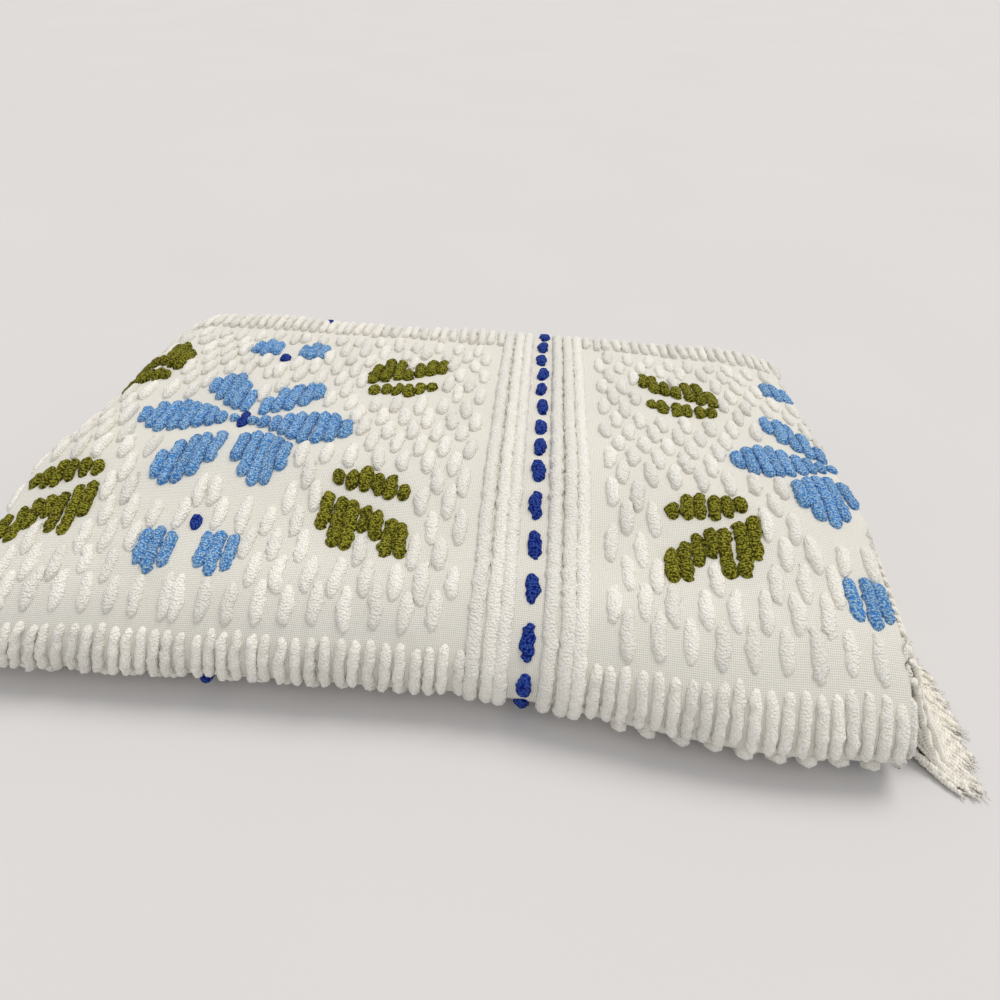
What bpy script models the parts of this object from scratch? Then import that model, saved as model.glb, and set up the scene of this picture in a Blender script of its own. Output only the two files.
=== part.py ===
"""Chenille bedspread, folded into a flat bundle that lies on a table.

The spread is one sheet. It is folded twice over its width into a strip of four plies, and the strip
is folded five times along its length, so the bundle holds twenty-four plies. The last fold is at the
front. The sheet starts as a flat grid, each of its points is moved to its place in the folds, and
Solidify gives it its thickness. The fringe is a comb that hangs from the free edges on the right.

Metres. +X runs along the bundle's long side, towards the fringe. +Y runs from the front fold to the
back. The origin is on the table, under the middle of the bundle.
"""

import math

import bmesh
import bpy
import numpy as np

# Cloth
GAUGE = 0.009525  # between two columns of tufts: 3/8 inch
STRIP_WIDTH = 66 * GAUGE
BUNDLE_DEPTH = 0.400
PLY_PITCH = 0.0039  # from ply to ply before the stack settles, with the pile that keeps them apart
SHEET_THICKNESS = 0.0014
PLIES_IN_STRIP = 4
STRIPS_IN_STACK = 6
STRIP_PITCH = PLIES_IN_STRIP * PLY_PITCH
STACK_HEIGHT = STRIPS_IN_STACK * STRIP_PITCH
BOTTOM_PLY = 0.5 * PLY_PITCH  # height of the lowest ply's middle before it settles

# Where the plies turn back, across the strip
RIGHT_EDGE = STRIP_WIDTH / 2
LEFT_TURN = -STRIP_WIDTH / 2 + 2 * PLY_PITCH
RIGHT_TURN = STRIP_WIDTH / 2 - PLY_PITCH

# Where the strips turn back, along the depth
FRONT_EDGE = -BUNDLE_DEPTH / 2
BACK_EDGE = BUNDLE_DEPTH / 2
FRONT_TURN = FRONT_EDGE + 3 * STRIP_PITCH
BACK_TURN = BACK_EDGE - STRIP_PITCH

# Each run of the sheet across the strip: its level in plies from the strip's middle, and its ends.
# A half turn joins each run to the next one.
SECTION_RUNS = (
    # level, start, end
    (-0.5, RIGHT_EDGE, LEFT_TURN),
    (0.5, LEFT_TURN, RIGHT_TURN),
    (1.5, RIGHT_TURN, LEFT_TURN),
    (-1.5, LEFT_TURN, RIGHT_EDGE),
)
SECTION_STOPS = (0.0, 0.10, 0.33, 0.62, 0.88, 1.0)  # where a run is divided, from left to right
SECTION_TURN_STEPS = (3, 3, 4)

# Each run of the strip along the depth: its level in strips above the table, its ends, and how far
# the strip has slipped sideways there.
PATH_RUNS = (
    # level, start, end, slip
    (0.5, BACK_EDGE, FRONT_TURN, -0.004),
    (5.5, FRONT_TURN, BACK_TURN, 0.000),
    (4.5, BACK_TURN, FRONT_TURN, -0.002),
    (1.5, FRONT_TURN, BACK_TURN, -0.006),
    (2.5, BACK_TURN, FRONT_TURN, -0.001),
    (3.5, FRONT_TURN, BACK_EDGE, -0.004),
)
PATH_STOPS = (0.0, 0.11, 0.25, 0.45, 0.72, 1.0)  # where a run is divided, from front to back
PATH_TURN_STEPS = (8, 4, 8, 4, 8)

# How the stack settles: its height as a part of the unpressed height, from front to back
HEIGHT_FROM_FRONT = (
    # distance from the front edge, height factor
    (0.000, 0.68),
    (0.040, 0.81),
    (0.075, 0.91),
    (0.130, 1.08),
    (0.200, 1.07),
    (0.300, 1.03),
    (0.400, 0.93),
)
# and from the left side to the right side, near the front fold and over the back half
HEIGHT_ACROSS = (
    # x, factor at the front, factor at the back
    (-0.314, 0.84, 0.71),
    (-0.280, 0.93, 0.99),
    (-0.220, 0.97, 1.06),
    (-0.100, 1.00, 1.03),
    (0.050, 1.00, 1.00),
    (0.200, 1.00, 0.95),
    (0.285, 0.96, 0.87),
    (0.314, 0.92, 0.78),
)
FRONT_SHAPE_END = 0.080  # the front values hold up to here from the front edge
BACK_SHAPE_START = 0.260  # and the back values from here
SWELL = 0.0012  # height of the soft unevenness of the top
SWELL_LENGTH = (0.23, 0.17)  # its wave lengths along X and Y

# The front fold leans forward at its foot, and its right half has slid further forward
LEAN_REACH = 0.120
FOOT_LEAN = 0.015
RIGHT_FOOT_LEAN = 0.012
SLIDE_REACH = 0.200
RIGHT_SLIDE = 0.022
SLIDE_START_X = 0.030
SLIDE_LENGTH_X = 0.220

# The left side leans in over the bottom strip
LEFT_LEAN = 0.011  # at the top of the stack
LEFT_LEAN_START = -0.080
LEFT_LEAN_LENGTH = 0.200

# Fringe
FRINGE_TEETH = 26
FRINGE_THICKNESS = 0.005
FRINGE_GAP = 0.0003  # between the fringe and the edge that it is sewn to
FRINGE_LIFT = 0.0002  # keeps the bent teeth off the table's own plane
FRINGE_LEVEL = 5.25 * STRIP_PITCH  # height of its top edge before the stack settles
FRINGE_FRONT = 0.036  # its first tooth, from the front edge
FRINGE_BACK = 0.392  # its last tooth, from the front edge
SLIT_SHARE = 0.22  # the part of each tooth's pitch that is open
BAND_DEPTH = 0.008
TOOTH_ROWS = (
    # share of the reach, share of the height left
    (0.04, 0.93),
    (0.20, 0.68),
    (0.42, 0.36),
    (0.66, 0.00),
    (1.00, 0.00),
)
TOOTH_REACH = (
    # distance from the front edge, reach to the right, lean to the front
    (0.036, 0.060, 0.046),
    (0.080, 0.058, 0.046),
    (0.130, 0.042, 0.034),
    (0.220, 0.028, 0.010),
    (0.392, 0.026, -0.004),
)
TOOTH_UNEVEN = 0.10  # each tooth's reach differs by up to this part

COTTON_COLOR = (0.80, 0.78, 0.71, 1.0)
FRINGE_COLOR = (0.76, 0.73, 0.64, 1.0)
COTTON_ROUGHNESS = 0.95


def clear_scene():
    for item in list(bpy.data.objects):
        bpy.data.objects.remove(item, do_unlink=True)


def smooth_step(share):
    """Rises from 0 to 1 with no corner at either end."""
    share = np.clip(share, 0.0, 1.0)
    return share * share * (3.0 - 2.0 * share)


def smooth_table(where, knots, values):
    """Cubic curve through the values, with each knot's slope taken from its two neighbours."""
    knots = np.asarray(knots, float)
    values = np.asarray(values, float)
    slopes = np.gradient(values, knots)
    where = np.clip(where, knots[0], knots[-1])
    index = np.clip(np.searchsorted(knots, where) - 1, 0, len(knots) - 2)
    span = knots[index + 1] - knots[index]
    t = (where - knots[index]) / span
    rise = values[index] * (1 + 2 * t) * (1 - t) ** 2 + values[index + 1] * t * t * (3 - 2 * t)
    bend = slopes[index] * t * (1 - t) ** 2 - slopes[index + 1] * t * t * (1 - t)
    return rise + bend * span


def folded_line(runs, pitch, stops, turn_steps):
    """A line that runs back and forth: rows of position, level, heading in radians, and run number.

    A run keeps its level. A turn is a half circle about the end of its run, from one level to the
    next. The run number is fractional within a turn.
    """
    rows = []
    for number, (level, start, end, *_) in enumerate(runs):
        forward = end > start
        heading = 0.0 if forward else math.pi
        low, high = min(start, end), max(start, end)
        places = [low + stop * (high - low) for stop in stops]
        for place in places if forward else reversed(places):
            rows.append((place, level * pitch, heading, number))
        if number + 1 == len(runs):
            break
        next_level = runs[number + 1][0]
        middle = 0.5 * (level + next_level) * pitch
        radius = 0.5 * (next_level - level) * pitch
        side = 1.0 if forward else -1.0
        steps = turn_steps[number]
        for step in range(1, steps):
            angle = math.pi * step / steps
            place = end + side * abs(radius) * math.sin(angle)
            turned = math.copysign(angle, side * radius)
            rows.append((place, middle - radius * math.cos(angle), heading + turned, number + step / steps))
    return np.array(rows)


def settle(x, y, z):
    """Presses and slides the squarely stacked bundle into the shape in which it lies.

    Heights are scaled about the lowest ply, which stays flat, and then stand on the table.
    """
    from_front = y - FRONT_EDGE
    distance, factor = zip(*HEIGHT_FROM_FRONT)
    height = smooth_table(from_front, distance, factor)
    knots, at_front, at_back = zip(*HEIGHT_ACROSS)
    toward_back = smooth_step((from_front - FRONT_SHAPE_END) / (BACK_SHAPE_START - FRONT_SHAPE_END))
    height *= (1 - toward_back) * smooth_table(x, knots, at_front) + toward_back * smooth_table(x, knots, at_back)
    above = z - BOTTOM_PLY
    wave = np.sin(math.tau * x / SWELL_LENGTH[0] + 0.7) * np.sin(math.tau * y / SWELL_LENGTH[1] - 0.4)
    settled_z = above * height + SWELL * wave * above / STACK_HEIGHT + 0.5 * SHEET_THICKNESS
    rightness = smooth_step((x - SLIDE_START_X) / SLIDE_LENGTH_X)
    lean = (FOOT_LEAN + RIGHT_FOOT_LEAN * rightness) * (1 - z / STACK_HEIGHT)
    slide = RIGHT_SLIDE * rightness * smooth_step(1 - from_front / SLIDE_REACH)
    leftness = smooth_step((LEFT_LEAN_START - x) / LEFT_LEAN_LENGTH)
    settled_x = x + LEFT_LEAN * leftness * z / STACK_HEIGHT
    settled_y = y - lean * smooth_step(1 - from_front / LEAN_REACH) - slide
    return settled_x, settled_y, settled_z


def flat_grid(columns, rows):
    """A flat grid in bmesh whose corner (i, j) stands at x = i, y = j."""
    grid = bmesh.new()
    bmesh.ops.create_grid(grid, x_segments=columns, y_segments=rows, size=0.5)
    for vertex in grid.verts:
        vertex.co.x = round((vertex.co.x + 0.5) * columns)
        vertex.co.y = round((vertex.co.y + 0.5) * rows)
    return grid


def split_faces(grid):
    """Splits each four-sided face along the diagonal on which x and y rise together.

    Plies that lie on each other are then split alike, so that they stay clear of each other where
    the stack is curved both ways.
    """
    for face in list(grid.faces):
        a, b, c, d = face.verts
        across = c.co - a.co
        if across.x * across.y >= 0:
            bmesh.utils.face_split(face, a, c)
        else:
            bmesh.utils.face_split(face, b, d)


def cotton_material(name, color):
    material = bpy.data.materials.new(name)
    material.use_nodes = True
    shader = material.node_tree.nodes["Principled BSDF"]
    shader.inputs["Base Color"].default_value = color
    shader.inputs["Roughness"].default_value = COTTON_ROUGHNESS
    shader.inputs["Metallic"].default_value = 0.0
    material.diffuse_color = color
    return material


def add_sheet(grid, name, thickness, material, collection):
    """Makes the object of a folded grid and gives it its thickness, half to each side."""
    mesh = bpy.data.meshes.new(name)
    bmesh.ops.recalc_face_normals(grid, faces=grid.faces)
    grid.to_mesh(mesh)
    grid.free()
    mesh.materials.append(material)
    mesh.shade_smooth()
    sheet = bpy.data.objects.new(name, mesh)
    collection.objects.link(sheet)
    solidify = sheet.modifiers.new("thickness", "SOLIDIFY")
    solidify.thickness = thickness
    solidify.offset = 0.0
    solidify.use_even_offset = True
    return sheet


def build_spread(collection):
    """The sheet: the section across the strip is carried along the strip's own folds, then settled."""
    section = folded_line(SECTION_RUNS, PLY_PITCH, SECTION_STOPS, SECTION_TURN_STEPS)
    path = folded_line(PATH_RUNS, STRIP_PITCH, PATH_STOPS, PATH_TURN_STEPS)
    slip = np.interp(path[:, 3], range(len(PATH_RUNS)), [run[3] for run in PATH_RUNS])
    grid = flat_grid(len(section) - 1, len(path) - 1)
    for vertex in grid.verts:
        across, level = section[round(vertex.co.x), :2]
        along, height, heading, _ = path[round(vertex.co.y)]
        x = across + slip[round(vertex.co.y)]
        y = along - level * math.sin(heading)
        z = height + level * math.cos(heading)
        vertex.co = settle(x, y, z)
    split_faces(grid)
    return add_sheet(grid, "spread", SHEET_THICKNESS, cotton_material("tufted_cotton", COTTON_COLOR), collection)


def fringe_columns():
    """Where the comb's grid lines start along the edge: both sides of each tooth, from front to back."""
    pitch = (FRINGE_BACK - FRINGE_FRONT) / FRINGE_TEETH
    columns = []
    for tooth in range(FRINGE_TEETH):
        start = FRINGE_FRONT + tooth * pitch
        columns.append((tooth, start + 0.5 * SLIT_SHARE * pitch))
        columns.append((tooth, start + (1 - 0.5 * SLIT_SHARE) * pitch))
    return columns


def build_fringe(collection):
    """The comb: a band along the edge, with teeth that slope down to the table and lie out on it."""
    columns = fringe_columns()
    grid = flat_grid(len(columns) - 1, 1 + len(TOOTH_ROWS))
    slits = [face for face in grid.faces if is_slit(face.calc_center_median())]
    bmesh.ops.delete(grid, geom=slits, context="FACES")
    distance, reach, lean = zip(*TOOTH_REACH)
    for vertex in grid.verts:
        tooth, from_front = columns[round(vertex.co.x)]
        row = round(vertex.co.y)
        edge = settle(RIGHT_EDGE, FRONT_EDGE + from_front, FRINGE_LEVEL)
        x = edge[0] + FRINGE_GAP + 0.5 * FRINGE_THICKNESS
        y = edge[1]
        z = edge[2]
        if row > 0:
            outward, height_left = TOOTH_ROWS[row - 2] if row > 1 else (0.0, 1.0)
            band_foot = z - BAND_DEPTH - 0.5 * FRINGE_THICKNESS
            uneven = 1 + TOOTH_UNEVEN * math.sin(2.4 * tooth * tooth)
            x += outward * uneven * smooth_table(from_front, distance, reach)
            y -= outward * uneven * smooth_table(from_front, distance, lean)
            z = 0.5 * FRINGE_THICKNESS + FRINGE_LIFT + height_left * band_foot
        vertex.co = (x, y, z)
    split_faces(grid)
    return add_sheet(grid, "fringe", FRINGE_THICKNESS, cotton_material("twisted_yarn", FRINGE_COLOR), collection)


def is_slit(centre):
    """Whether the face of the comb's grid with this middle is an opening between two teeth."""
    return centre.y > 1 and math.floor(centre.x) % 2 == 1


def main():
    clear_scene()
    collection = bpy.data.collections.new("chenille_bedspread")
    bpy.context.scene.collection.children.link(collection)
    build_spread(collection)
    build_fringe(collection)


main()
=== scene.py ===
"""Looks of the folded chenille bedspread: woven ground, cut-pile tufts and twisted fringe.

Every piece is laid out on the flat sheet and then carried through the sheet's folds. A place on the
sheet is given by two lengths: u, from the right-hand fold line towards the left, and w, from the
middle of the front fold over the top towards the back. A third length is the height over the face
that carries the tufts. All lengths are in metres.
"""

import math

import bpy
import numpy as np
from bpy.props import FloatProperty, FloatVectorProperty, IntProperty, PointerProperty
from mathutils import Matrix, Vector


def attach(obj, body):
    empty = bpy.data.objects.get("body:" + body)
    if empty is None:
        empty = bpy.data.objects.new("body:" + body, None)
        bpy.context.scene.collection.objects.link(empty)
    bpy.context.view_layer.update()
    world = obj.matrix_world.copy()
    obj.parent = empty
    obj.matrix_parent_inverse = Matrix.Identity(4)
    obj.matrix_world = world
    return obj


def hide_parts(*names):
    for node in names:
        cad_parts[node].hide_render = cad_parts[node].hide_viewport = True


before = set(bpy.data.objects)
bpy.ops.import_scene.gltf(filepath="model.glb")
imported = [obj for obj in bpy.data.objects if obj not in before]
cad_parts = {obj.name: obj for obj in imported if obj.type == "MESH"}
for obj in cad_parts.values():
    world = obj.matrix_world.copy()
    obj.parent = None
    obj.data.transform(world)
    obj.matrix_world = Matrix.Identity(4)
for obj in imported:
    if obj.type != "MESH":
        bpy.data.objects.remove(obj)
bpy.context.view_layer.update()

bl_info = {
    "name": "Folded chenille bedspread",
    "version": (1, 0, 0),
    "blender": (4, 5, 0),
    "location": "3D View > Sidebar > Bedspread",
    "description": "Builds a tufted cotton bedspread folded into a flat bundle, with a twisted fringe",
    "category": "Object",
}

MM = 0.001

# The folds of the sheet, as the solid part has them
GAUGE = 0.009525
STRIP_WIDTH = 66 * GAUGE
PLY_PITCH = 0.0039
SHEET_THICKNESS = 0.0014
STRIP_PITCH = 4 * PLY_PITCH
STACK_HEIGHT = 6 * STRIP_PITCH
BOTTOM_PLY = 0.5 * PLY_PITCH
OUTER_PLY = 1.5  # level of the strip's outer ply, in plies from the strip's middle
RIGHT_EDGE = STRIP_WIDTH / 2
LEFT_TURN = -STRIP_WIDTH / 2 + 2 * PLY_PITCH
RIGHT_TURN = STRIP_WIDTH / 2 - PLY_PITCH
FRONT_EDGE = -0.200
BACK_EDGE = 0.200
FRONT_TURN = FRONT_EDGE + 3 * STRIP_PITCH
BACK_TURN = BACK_EDGE - STRIP_PITCH
SECTION_RUNS = (
    # level in plies, start, end
    (-0.5, RIGHT_EDGE, LEFT_TURN),
    (0.5, LEFT_TURN, RIGHT_TURN),
    (1.5, RIGHT_TURN, LEFT_TURN),
    (-1.5, LEFT_TURN, RIGHT_EDGE),
)
PATH_RUNS = (
    # level in strips, start, end, slip to the right
    (0.5, BACK_EDGE, FRONT_TURN, -0.004),
    (5.5, FRONT_TURN, BACK_TURN, 0.000),
    (4.5, BACK_TURN, FRONT_TURN, -0.002),
    (1.5, FRONT_TURN, BACK_TURN, -0.006),
    (2.5, BACK_TURN, FRONT_TURN, -0.001),
    (3.5, FRONT_TURN, BACK_EDGE, -0.004),
)

# How the stack settles
HEIGHT_FROM_FRONT = (
    # distance from the front edge, height factor
    (0.000, 0.68),
    (0.040, 0.81),
    (0.075, 0.91),
    (0.130, 1.08),
    (0.200, 1.07),
    (0.300, 1.03),
    (0.400, 0.93),
)
HEIGHT_ACROSS = (
    # x, factor at the front, factor at the back
    (-0.314, 0.84, 0.71),
    (-0.280, 0.93, 0.99),
    (-0.220, 0.97, 1.06),
    (-0.100, 1.00, 1.03),
    (0.050, 1.00, 1.00),
    (0.200, 1.00, 0.95),
    (0.285, 0.96, 0.87),
    (0.314, 0.92, 0.78),
)
FRONT_SHAPE_END = 0.080
BACK_SHAPE_START = 0.260
SWELL = 0.0012
SWELL_LENGTH = (0.23, 0.17)
LEAN_REACH = 0.120
FOOT_LEAN = 0.015
RIGHT_FOOT_LEAN = 0.012
SLIDE_REACH = 0.200
RIGHT_SLIDE = 0.022
SLIDE_START_X = 0.030
SLIDE_LENGTH_X = 0.220
LEFT_LEAN = 0.011
LEFT_LEAN_START = -0.080
LEFT_LEAN_LENGTH = 0.200

# The cloth has been drawn back over the right half of the front fold, and the design with it
DRAW_BACK = 0.008
DRAW_U = (0.260, 0.020)  # from none to all of it
DRAW_W = (-0.160, -0.080, 0.070, 0.200)  # from none to all of it, and back to none

# The woven ground
GROUND_DEPTH = 0.0013  # the ground lies this far inside the middle of the solid sheet

# The design, which repeats as its own mirror image about each of its lines. Lines stand at a column
DASH_LINE = 24.5
FLOWER_LINES = ((-0.5, -1), (49.5, 1))  # each with the way in which its chart runs
POPCORN_COLUMNS = 20  # on each side of a flower line
BAND_ROW = 0.0040  # w of the middle of the front band of bars
MOTIF_ROW = 0.20475  # w of the middle of the flowers on top
POPCORN_PITCH = 0.0398
REPEAT = 2 * (MOTIF_ROW - BAND_ROW)

# The flower, column by column: columns from its line, middle and length of the stitches in mm
PETALS = (
    (1, 1, 9), (2, 1, 16), (3, 2, 24), (4, 2, 32), (5, 2, 40), (6, 2, 44), (7, 2, 43), (8, 2, 36),
    (9, 2, 22), (-1, -1, 10), (-2, -2, 16), (-3, -3, 22), (-4, -4, 30), (-5, -5, 38), (-6, -6, 44),
    (-7, -6, 44), (-8, -7, 38), (-9, -8, 24), (0.4, 27, 30), (1.4, 35, 40), (2.4, 41, 46),
    (3.4, 46, 37), (4.4, 46, 21), (-1.3, 22, 26), (-2.3, 32, 37), (-3.3, 40, 42), (-4.3, 46, 38),
    (-5.2, 51, 26), (0.9, -37, 35), (2, -45, 46), (3, -50, 49), (4, -55, 43), (5, -58, 27),
    (-1.2, -37, 32), (-2.2, -42, 50), (-3.2, -46, 56), (-4.2, -47, 48), (-5.1, -45, 30),
)
BUDS = (
    (1.4, 127, 27), (2.4, 128, 34), (3.4, 126, 27), (-1.4, 127, 27), (-2.4, 129, 35), (-3.4, 127, 29),
)
FLOWER_DOTS = ((0, 0, 24), (0, 107, 12))
LEAF = (
    (10, 63, 14), (11, 64, 18), (12, 65, 20), (13, 66, 21), (14, 68, 20), (15, 71, 13), (9.5, 90, 30),
    (10.5, 99, 42), (11.5, 101, 36), (12.5, 95, 20), (13.5, 101, 24), (14.5, 109, 31), (15.5, 112, 27),
)
# Single dots at the front and the back fold: u, w and length
STRAY_DOTS = ((0.4440, -0.0270, 0.009), (0.4535, 0.4120, 0.009))
DASH_PITCH = 0.0315
DASH_LENGTH = 0.0225
FIRST_DASH = 0.0035
CORD_COLUMNS = (-3.5, -2.5, -1.5, 1.5, 2.5, 3.5)  # from the line of dashes

# Soft creases of the outer ply: u and w of both ends, half width, and height (below 0 for a trough)
CREASES = (
    (0.205, 0.060, 0.150, 0.118, 0.011, -0.0016),
    (0.188, 0.052, 0.140, 0.092, 0.009, 0.0013),
    (0.330, 0.066, 0.302, 0.150, 0.012, -0.0014),
    (0.300, 0.030, 0.352, 0.052, 0.010, 0.0012),
    (0.112, 0.058, 0.075, 0.150, 0.012, 0.0012),
    (0.480, 0.044, 0.600, 0.064, 0.010, -0.0013),
    (0.270, 0.215, 0.205, 0.262, 0.014, -0.0013),
    (0.400, 0.330, 0.330, 0.372, 0.013, -0.0012),
    (0.560, 0.290, 0.610, 0.372, 0.012, 0.0014),
    (0.060, 0.290, 0.140, 0.350, 0.013, -0.0012),
    (0.500, -0.110, 0.420, -0.240, 0.014, -0.0010),
    (0.150, -0.150, 0.240, -0.300, 0.014, -0.0010),
)
CREASE_DEPTH = 1.5  # multiplies the height of them all
UNEVENNESS = 0.0005  # height of the slow waves between the creases

# Fringe: its strands start along the right-hand free edges, and lie out on the table
FRINGE_REACH = (
    # distance from the front edge, reach to the right, lean to the front
    (0.036, 0.041, 0.046),
    (0.080, 0.046, 0.046),
    (0.130, 0.036, 0.032),
    (0.220, 0.024, 0.010),
    (0.392, 0.022, -0.004),
)
STRAND_FALL = (
    # share of the strand, share of the reach, share of the height left
    (0.00, 0.00, 1.00),
    (0.10, 0.07, 0.93),
    (0.30, 0.20, 0.66),
    (0.52, 0.42, 0.33),
    (0.72, 0.68, 0.03),
    (1.00, 1.00, 0.00),
)
EDGE_LEVELS = (5.25, 5.02)  # heights of the plies with strands along their whole edge, in strips
EDGE_RUN = (0.034, 0.392)  # from the front edge
LOWER_LEVELS = (4.7, 4.1, 3.5, 2.8, 2.0, 1.2)  # of the plies below them, with strands near the front
LOWER_RUN = (0.033, 0.130)
LOWER_STRANDS = 17
TWIST_LENGTH = 0.014  # one turn of the two plies round each other
PLY_LOBE = 0.36  # how far the section of two plies is from round
WISPS = 5  # at the frayed end of each strand
LOWEST = 0.0001  # nothing lies nearer to the table

# How uneven the tufts are, as a share of their width or height
SWAY = 0.05
BOW = 0.07
LEAN = 0.05
TALLNESS = 0.09


def linear(hex_colour):
    """The linear values of an sRGB hex colour."""
    values = [int(hex_colour[i : i + 2], 16) / 255 for i in (1, 3, 5)]
    return [v / 12.92 if v <= 0.04045 else ((v + 0.055) / 1.055) ** 2.4 for v in values]


def length_value(name, description, default):
    return FloatProperty(name=name, description=description, default=default, subtype="DISTANCE")


def colour_value(name, description, hex_colour):
    return FloatVectorProperty(
        name=name, description=description, size=3, default=linear(hex_colour), subtype="COLOR"
    )


class SpreadSizes(bpy.types.PropertyGroup):
    """Sizes of the ground, the tufts and the fringe."""

    ground_thickness: length_value("Ground thickness", "Thickness of the woven ground", 0.0008)
    pile_height: length_value("Pile height", "Height of a popcorn tuft over the ground", 0.0050)
    bar_height: length_value("Bar height", "Height of a bar or a cord over the ground", 0.0056)
    motif_height: length_value("Motif pile height", "Height of a coloured tuft", 0.0050)
    popcorn_length: length_value("Popcorn length", "Length of one popcorn tuft", 0.0272)
    popcorn_width: length_value("Popcorn width", "Width of one popcorn tuft", 0.0110)
    bar_length: length_value("Bar length", "Length of the bars in the bands", 0.045)
    bar_width: length_value("Bar width", "Width of one bar", 0.0077)
    strand_radius: length_value("Strand radius", "Radius of a fringe strand", 0.0020)
    strand_count: IntProperty(name="Strands", description="Strands along a whole edge", default=64)


class SpreadColours(bpy.types.PropertyGroup):
    """Colours of the yarns and the floor."""

    ground: colour_value("Ground", "Bleached cotton ground", "#efece2")
    white_pile: colour_value("White pile", "Natural white tufts", "#fdfaf1")
    light_blue: colour_value("Light blue", "Petals and buds", "#77b8ed")
    royal_blue: colour_value("Royal blue", "Dashes, hearts and dots", "#16359c")
    olive: colour_value("Olive", "Leaves", "#757105")
    fringe: colour_value("Fringe", "Unbleached twisted yarn", "#fbf5e9")
    floor: colour_value("Floor", "Pale backdrop paper", "#d6d4d3")


# ---------------------------------------------------------------- the folds


def smooth_step(share):
    """Rises from 0 to 1 with no corner at either end."""
    share = np.clip(share, 0.0, 1.0)
    return share * share * (3.0 - 2.0 * share)


def smooth_table(where, table, column=1):
    """Cubic curve through a column of the table, over its first one. Slopes come from the neighbours."""
    knots, values = np.array(table)[:, [0, column]].T
    slopes = np.gradient(values, knots)
    where = np.clip(where, knots[0], knots[-1])
    index = np.clip(np.searchsorted(knots, where) - 1, 0, len(knots) - 2)
    span = knots[index + 1] - knots[index]
    t = (where - knots[index]) / span
    rise = values[index] * (1 + 2 * t) * (1 - t) ** 2 + values[index + 1] * t * t * (3 - 2 * t)
    bend = slopes[index] * t * (1 - t) ** 2 - slopes[index + 1] * t * t * (1 - t)
    return rise + bend * span


def folded_line(runs, pitch):
    """The pieces of a line that runs back and forth: straight runs joined by half circles.

    Each row holds a piece's starting arc length, position, height, heading and curvature.
    """
    rows = []
    arc, heading = 0.0, 0.0 if runs[0][2] > runs[0][1] else math.pi
    for number, (level, start, end, *_) in enumerate(runs):
        rows.append((arc, start, level * pitch, heading, 0.0))
        arc += abs(end - start)
        if number + 1 < len(runs):
            rise = (runs[number + 1][0] - level) * pitch
            curvature = math.cos(heading) * 2 / rise
            rows.append((arc, end, level * pitch, heading, curvature))
            arc += math.pi * abs(rise) / 2
            heading += math.copysign(math.pi, curvature)
    rows.append((arc, runs[-1][2], runs[-1][0] * pitch, heading, 0.0))
    return np.array(rows)


def line_at(line, arc):
    """Position, height and heading on a folded line.

    On a straight piece the place is the start plus the run times the heading. On a half circle it is
    the start plus the change of sine and cosine of the heading, over the curvature.
    """
    index = np.clip(np.searchsorted(line[:, 0], arc, side="right") - 1, 0, len(line) - 2)
    start, place, height, heading, curvature = np.moveaxis(line[index], -1, 0)
    run = arc - start
    turned = heading + curvature * run
    bent = np.abs(curvature) > 0
    radius = 1 / np.where(bent, curvature, 1.0)
    along = np.where(bent, (np.sin(turned) - np.sin(heading)) * radius, run * np.cos(heading))
    above = np.where(bent, (np.cos(heading) - np.cos(turned)) * radius, run * np.sin(heading))
    return place + along, height + above, turned


def settle(x, y, z):
    """Presses and slides the squarely stacked bundle into the shape in which it lies."""
    from_front = y - FRONT_EDGE
    height = smooth_table(from_front, HEIGHT_FROM_FRONT)
    toward_back = smooth_step((from_front - FRONT_SHAPE_END) / (BACK_SHAPE_START - FRONT_SHAPE_END))
    at_front, at_back = smooth_table(x, HEIGHT_ACROSS, 1), smooth_table(x, HEIGHT_ACROSS, 2)
    height = height * ((1 - toward_back) * at_front + toward_back * at_back)
    above = z - BOTTOM_PLY
    wave = np.sin(math.tau * x / SWELL_LENGTH[0] + 0.7) * np.sin(math.tau * y / SWELL_LENGTH[1] - 0.4)
    settled_z = above * height + SWELL * wave * above / STACK_HEIGHT + 0.5 * SHEET_THICKNESS
    rightness = smooth_step((x - SLIDE_START_X) / SLIDE_LENGTH_X)
    lean = (FOOT_LEAN + RIGHT_FOOT_LEAN * rightness) * (1 - z / STACK_HEIGHT)
    slide = RIGHT_SLIDE * rightness * smooth_step(1 - from_front / SLIDE_REACH)
    leftness = smooth_step((LEFT_LEAN_START - x) / LEFT_LEAN_LENGTH)
    settled_x = x + LEFT_LEAN * leftness * z / STACK_HEIGHT
    settled_y = y - lean * smooth_step(1 - from_front / LEAN_REACH) - slide
    return settled_x, settled_y, settled_z


SECTION = folded_line(SECTION_RUNS, PLY_PITCH)
PATH = folded_line(PATH_RUNS, STRIP_PITCH)
OUTER_PLY_START = SECTION[4, 0]  # arc length where the outer ply leaves the right-hand fold
U_FIRST = PLY_PITCH - OUTER_PLY_START  # u of the sheet's first and last thread
U_LAST = U_FIRST + SECTION[-1, 0]
# The design is measured on the outer ply, which runs round each turn at its own radius.
DESIGN_STEPS = np.diff(PATH[:, 0]) * (1 - PATH[:-1, 4] * OUTER_PLY * PLY_PITCH)
DESIGN_KNOTS = np.concatenate([[0.0], np.cumsum(DESIGN_STEPS)])
DESIGN_KNOTS -= 0.5 * (DESIGN_KNOTS[1] + DESIGN_KNOTS[2])
W_FIRST, W_LAST = DESIGN_KNOTS[0], DESIGN_KNOTS[-1]
OUTER_END = DESIGN_KNOTS[4] + 0.03  # w past the back fold, where other strips hide the outer ply
END_MARGIN = 0.012  # from the sheet's front and back ends to its first tufts
OUTER_FACE = (-0.012, 0.648)  # u from end to end of the outer ply, with its folds
LEFT_FOLD = (0.618, 0.648)
RIGHT_FOLD = (-0.006, 0.006)


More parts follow.
